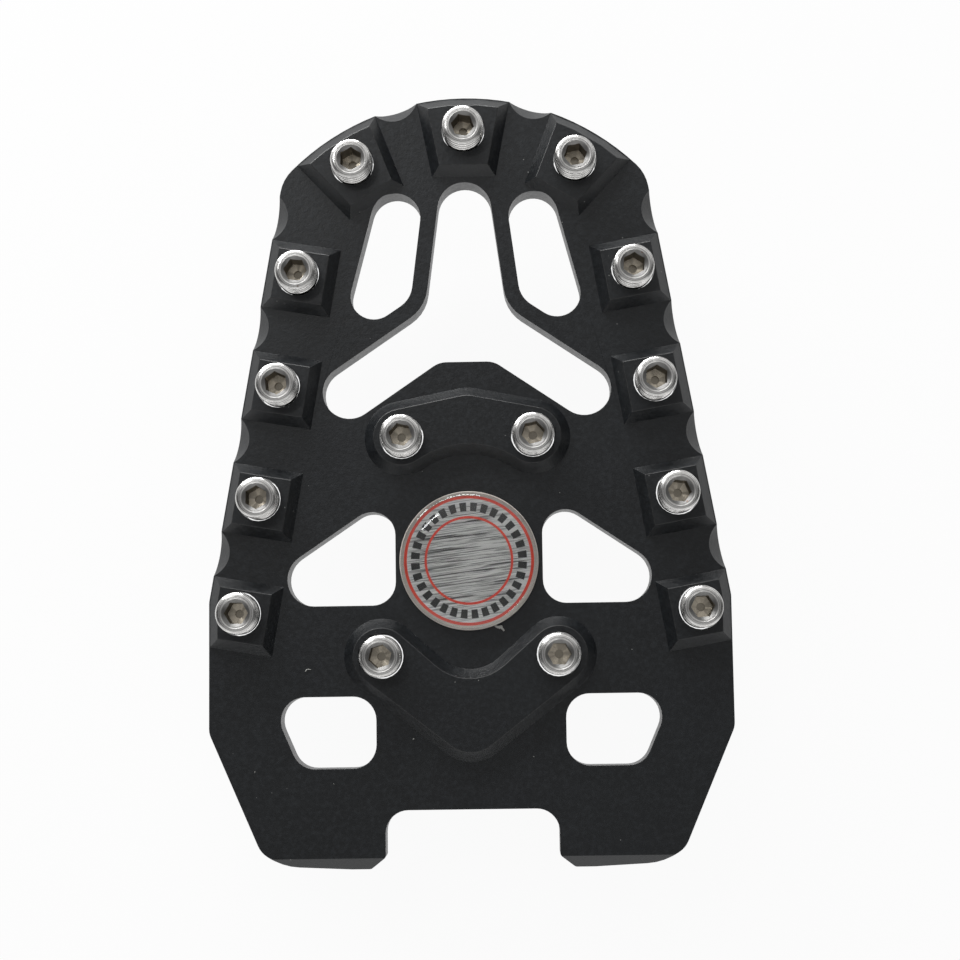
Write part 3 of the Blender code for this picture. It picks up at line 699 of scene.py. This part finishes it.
def thread_sections(settings, tall):
    """The screw's flank from its foot to its top edge, and how deep the thread is at each point."""
    sides, crest, depth = settings.sides, settings.crest, settings.depth
    root = crest - depth
    sections = [at_height(ring(root - POINT, sides), 0), at_height(ring(root, sides), POINT),
                at_height(ring(root, sides), tall - settings.threaded)]
    depths = [[0.0] * sides for _ in sections]
    for row in range(1, settings.rows + 1):
        below_top = settings.threaded * (1 - row / settings.rows) ** ROW_SPREAD
        height = tall - below_top
        cut = min(1.0, below_top / settings.run_out)
        deep = [cut * thread_depth(settings, k / sides, height) for k in range(sides)]
        limit = edge_radius(settings, below_top)
        points = []
        for k, share in enumerate(deep):
            radius = min(limit, crest - depth * share)
            angle = math.tau * k / sides
            points.append((radius * math.cos(angle), radius * math.sin(angle), height))
        sections.append(points)
        depths.append([share if crest - depth * share < limit else 0.0 for share in deep])
    return sections, depths


def stud_mesh(settings, tall):
    """One threaded set screw on its point, with its hexagon socket in the top."""
    sides = settings.sides
    mesh = bmesh.new()
    hollow = mesh.verts.layers.float.new("hollow")
    zone = mesh.faces.layers.float.new("zone")
    flank, depths = thread_sections(settings, tall)
    hexed = hexagon(settings.across_flats, sides)
    mouth = settings.across_flats / 2 / math.cos(math.tau / 12) + settings.mouth
    bottom = tall - settings.socket_depth
    cone = [(x, y, tall - settings.mouth_slope * (mouth - math.hypot(x, y))) for x, y in hexed]
    inner = [(FLAT, at_height(ring(mouth + out, sides), tall - down)) for out, down in GROOVE]
    inner += [(MOUTH, cone), (WALL, at_height(hexed, bottom)),
              (BOTTOM, at_height(ring(settings.pilot + PIT_RIM, sides), bottom - PIT_DIP)),
              (DRILLED, at_height(ring(settings.pilot, sides), bottom - PIT_DEPTH))]
    rings, bands = bridge(mesh, flank + [points for number, points in inner])
    mesh.faces.new(reversed(rings[0]))
    hole_end = mesh.faces.new(rings[-1])
    hole_end[zone] = DRILLED
    zones = [EDGE if tall - points[0][2] < settings.edge_height else 0 for points in flank[1:]]
    zones += [number for number, points in inner]
    for band, number in zip(bands, zones):
        for face in band:
            face[zone] = number
    for loop, shares in zip(rings, depths):
        for vert, share in zip(loop, shares):
            vert[hollow] = share
    socket = {vert for loop in rings[len(flank):] for vert in loop}
    mesh.normal_update()
    for face in mesh.faces:
        face.smooth = True
    for edge in mesh.edges:
        sharp = SOCKET_SHARP if socket.issuperset(edge.verts) else FLANK_SHARP
        edge.smooth = edge.calc_face_angle(0.0) < math.radians(sharp)
    return finished_mesh("stud_pattern", mesh)


def stud_tree():
    """Stands one pattern over each point, at one level and turned by the point's own angle."""
    tree = bpy.data.node_groups.new("Studs", "GeometryNodeTree")
    for name, kind in (("Geometry", "NodeSocketGeometry"), ("Pattern", "NodeSocketObject"),
                       ("Level", "NodeSocketFloat"), ("Finish", "NodeSocketMaterial")):
        tree.interface.new_socket(name, in_out="INPUT", socket_type=kind)
    tree.interface.new_socket("Geometry", in_out="OUTPUT", socket_type="NodeSocketGeometry")
    nodes = Nodes(tree)
    source = nodes.add("NodeGroupInput").outputs
    turn = nodes.add("GeometryNodeInputNamedAttribute", {"Name": "turn"}, data_type="FLOAT")
    angle = nodes.add("ShaderNodeCombineXYZ", {"Z": turn.outputs["Attribute"]})
    pattern = nodes.add("GeometryNodeObjectInfo", {"Object": source["Pattern"]})
    rise = nodes.add("ShaderNodeCombineXYZ", {"Z": source["Level"]})
    raised = nodes.add("GeometryNodeSetPosition",
                       {"Geometry": source["Geometry"], "Offset": rise})
    stand = nodes.add("GeometryNodeInstanceOnPoints",
                      {"Points": raised, "Instance": pattern.outputs["Geometry"],
                       "Rotation": angle})
    real = nodes.add("GeometryNodeRealizeInstances", {"Geometry": stand})
    dressed = nodes.add("GeometryNodeSetMaterial",
                        {"Geometry": real, "Material": source["Finish"]})
    nodes.add("NodeGroupOutput", {"Geometry": dressed})
    return tree


def realized(name, obj, tree, values):
    """The plain mesh that a node tree makes from an object."""
    modifier = obj.modifiers.new(name, "NODES")
    modifier.node_group = tree
    for item in tree.interface.items_tree:
        if item.in_out == "INPUT" and item.name in values:
            modifier[item.identifier] = values[item.name]
    graph = bpy.context.evaluated_depsgraph_get()
    data = bpy.data.meshes.new_from_object(obj.evaluated_get(graph), depsgraph=graph)
    obj.modifiers.remove(modifier)
    data.name = name
    return data


class PEG_OT_studs(bpy.types.Operator):
    """Stand a threaded stud in every hole, each stopped at its own turn"""

    bl_idname = "peg.studs"
    bl_label = "Studs"

    def execute(self, context):
        settings = context.scene.peg.studs
        low, high = extent("stud_tip")[:2]
        pattern = new_piece("stud_pattern", stud_mesh(settings, high.z - low.z))
        centres = [extent(name)[2] for name in STUD_TURNS]
        points = bpy.data.meshes.new("stud_places")
        points.from_pydata([(centre.x, centre.y, 0) for centre in centres], [], [])
        turns = points.attributes.new("turn", "FLOAT", "POINT")
        turns.data.foreach_set("value", [math.radians(turn) for turn in STUD_TURNS.values()])
        carrier = new_piece("stud_places", points)
        values = {"Pattern": pattern, "Level": low.z, "Finish": bright_steel(settings)}
        studs = new_piece("studs", realized("studs", carrier, stud_tree(), values))
        bpy.data.objects.remove(carrier)
        bpy.data.objects.remove(pattern)
        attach(studs, "root")
        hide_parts(*STUD_TURNS)
        return {"FINISHED"}


# Badge


def lathed(name, profile, centre):
    """A closed shape turned round an upright axis, from (radius, height) pairs, lowest first."""
    mesh = bmesh.new()
    sections = [at_height(ring(radius, ROUND_SIDES), height) for radius, height in profile]
    rings = bridge(mesh, sections)[0]
    mesh.faces.new(reversed(rings[0]))
    mesh.faces.new(rings[-1])
    bmesh.ops.translate(mesh, verts=mesh.verts, vec=(centre.x, centre.y, 0))
    data = finished_mesh(name, mesh)
    smooth(data, degrees=30)
    return data


def label_profile(radius, low, high):
    """The label's upright section, with a fine chamfer at both edges."""
    return [(radius - LABEL_EDGE, low), (radius, low + LABEL_EDGE),
            (radius, high - LABEL_EDGE), (radius - LABEL_EDGE, high)]


def dome_profile(radius, low, high, fullness):
    """The dome's upright section: a full shoulder and a crown that is almost level."""
    inset, rise = DOME_FOOT
    profile = [(radius - inset, low), (radius, low + rise)]
    for k in range(1, DOME_STEPS):
        turn = math.pi / 2 * k / DOME_STEPS
        reach = radius * math.cos(turn) ** (2 / fullness)
        height = (high - low) * math.sin(turn) ** (2 / fullness)
        if height > DOME_START:
            profile.append((reach, low + height))
    profile.append((radius * CROWN, high))
    return profile


class PEG_OT_badge(bpy.types.Operator):
    """Make the badge's brushed label and the clear dome on it"""

    bl_idname = "peg.badge"
    bl_label = "Badge"

    def execute(self, context):
        settings = context.scene.peg.badge
        low, high, centre = extent("badge_label")
        profile = label_profile((high.y - low.y) / 2, low.z, high.z)
        finish = brushed_label(settings, centre)
        label = new_piece("label", lathed("label", profile, centre), finish)
        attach(label, "root")
        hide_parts("badge_label")
        low, high, centre = extent("badge_dome")
        profile = dome_profile((high.y - low.y) / 2, low.z, high.z, settings.dome_fullness)
        dome = new_piece("dome", lathed("dome", profile, centre), clear_resin())
        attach(dome, "root")
        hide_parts("badge_dome")
        return {"FINISHED"}


# Lint


def strand(mesh, points, radii):
    """A flattened tube through points, as wide as the radius given at each."""
    points = [Vector(point) for point in points]
    sections = []
    for k, (point, radius) in enumerate(zip(points, radii)):
        along = (points[min(k + 1, len(points) - 1)] - points[max(k - 1, 0)]).normalized()
        across = along.cross(Vector((0, 0, 1))).normalized()
        up = across.cross(along)
        sections.append([point + across * radius * x + up * radius * STRAND_FLATNESS * y
                         for x, y in ring(1.0, STRAND_SIDES)])
    rings = bridge(mesh, sections)[0]
    mesh.faces.new(reversed(rings[0]))
    mesh.faces.new(rings[-1])


class PEG_OT_lint(bpy.types.Operator):
    """Lay the fibre on the tread and the frayed flake at the badge's edge"""

    bl_idname = "peg.lint"
    bl_label = "Lint"

    def execute(self, context):
        settings = context.scene.peg.lint
        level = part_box("badge_label")[0][2] + settings.thickness * STRAND_RISE
        mesh = bmesh.new()
        for places, widths in STRANDS:
            points = [(x, y, level + rise) for x, y, rise in places]
            strand(mesh, points, [settings.thickness / 2 * width for width in widths])
        bmesh.ops.recalc_face_normals(mesh, faces=mesh.faces)
        data = finished_mesh("lint", mesh)
        smooth(data, degrees=60)
        lint = new_piece("lint", data, lint_fibre(settings))
        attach(lint, "root")
        return {"FINISHED"}


# Stage


def studio_world(strength):
    """Soft light: pale low down, dark above, and broad light from the far and the near side."""
    world = bpy.data.worlds.new("studio")
    world.use_nodes = True
    tree = Nodes(world.node_tree)
    way = tree.add("ShaderNodeTexCoord").outputs["Generated"]
    axes = tree.add("ShaderNodeSeparateXYZ", {0: way}).outputs
    out, up = axes["Y"], axes["Z"]

    def side(reach, rise, level):
        """Light that grows over a stretch of Y and over a stretch of Z, up to a level."""
        return tree.math("MULTIPLY", tree.ramp(out, *reach, 0.0, level), tree.ramp(up, *rise))

    light = tree.largest(
        side(reach=(0.1, 0.5), rise=(0.3, 0.55), level=1.05),       # far
        side(reach=(-0.2, -0.6), rise=(0.1, 0.4), level=0.8),       # near
        tree.ramp(up, 0.26, 0.0, 0.0, 1.15),                        # low, all round
        tree.ramp(up, 0.87, 0.96, 0.08, 0.36),                      # straight above
        side(reach=(-0.4, -0.8), rise=(0.4, 0.25), level=1.8))      # near and low
    back = world.node_tree.nodes["Background"]
    tree.feed(back.inputs["Color"],
              tree.add("ShaderNodeCombineXYZ", {0: light, 1: light, 2: light}))
    back.inputs["Strength"].default_value = strength
    bpy.context.scene.world = world


def area_light(name, place, target, size, power):
    """A rectangular light at a place, facing a target."""
    data = bpy.data.lights.new(name, "AREA")
    data.shape = "RECTANGLE"
    data.size, data.size_y = size
    data.energy = power
    obj = bpy.data.objects.new(name, data)
    obj.location = place
    way = Vector(target) - Vector(place)
    obj.rotation_euler = way.to_track_quat("-Z", "Y").to_euler()
    bpy.context.scene.collection.objects.link(obj)


def camera():
    """The camera at the photograph's place, looking down on the tread."""
    data = bpy.data.cameras.new("camera")
    data.lens = CAMERA_LENS
    data.sensor_width = SENSOR_WIDTH
    obj = bpy.data.objects.new("camera", data)
    obj.location = CAMERA_PLACE
    obj.rotation_mode = "ZYX"
    obj.rotation_euler = [math.radians(turn) for turn in CAMERA_TURNS]
    bpy.context.scene.collection.objects.link(obj)
    bpy.context.scene.camera = obj


class PEG_OT_stage(bpy.types.Operator):
    """Set the floor, the soft light and the camera"""

    bl_idname = "peg.stage"
    bl_label = "Stage"

    def execute(self, context):
        settings = context.scene.peg.stage
        half = settings.floor_size / 2
        corners = [(-half, -half), (half, -half), (half, half), (-half, half)]
        data = bpy.data.meshes.new("floor")
        data.from_pydata(at_height(corners, CAD_BOX[0][2]), [], [(0, 1, 2, 3)])
        floor = new_piece("floor", data, pale_floor())
        studio_world(settings.world_strength)
        area_light("soft_box", *SOFT_BOX, settings.key_power)
        area_light("strip_light", *STRIP_LIGHT, settings.strip_power)
        camera()
        context.scene.view_settings.view_transform = "Standard"
        return {"FINISHED"}


class PEG_PT_panel(bpy.types.Panel):
    """The steps that build the foot peg, and their settings"""

    bl_idname = "PEG_PT_panel"
    bl_label = "Foot peg"
    bl_space_type = "VIEW_3D"
    bl_region_type = "UI"
    bl_category = "Foot peg"

    def draw(self, context):
        for name in ("stage", "plate", "studs", "badge", "lint"):
            box = self.layout.box()
            box.operator(f"peg.{name}")
            group = getattr(context.scene.peg, name)
            for key in group.__annotations__:
                box.prop(group, key)


CLASSES = (
    PlateSettings,
    StudSettings,
    BadgeSettings,
    LintSettings,
    StageSettings,
    PegSettings,
    PEG_OT_stage,
    PEG_OT_plate,
    PEG_OT_studs,
    PEG_OT_badge,
    PEG_OT_lint,
    PEG_PT_panel,
)


def register():
    """Registers the classes and hangs their settings on the scene."""
    for made in CLASSES:
        bpy.utils.register_class(made)
    bpy.types.Scene.peg = PointerProperty(type=PegSettings)


def unregister():
    """Takes back what register did."""
    del bpy.types.Scene.peg
    for made in reversed(CLASSES):
        bpy.utils.unregister_class(made)


def main():
    """Builds the stage and the pieces in order."""
    register()
    bpy.ops.peg.stage()
    bpy.ops.peg.plate()
    bpy.ops.peg.studs()
    bpy.ops.peg.badge()
    bpy.ops.peg.lint()


if __name__ == "__main__":
    main()
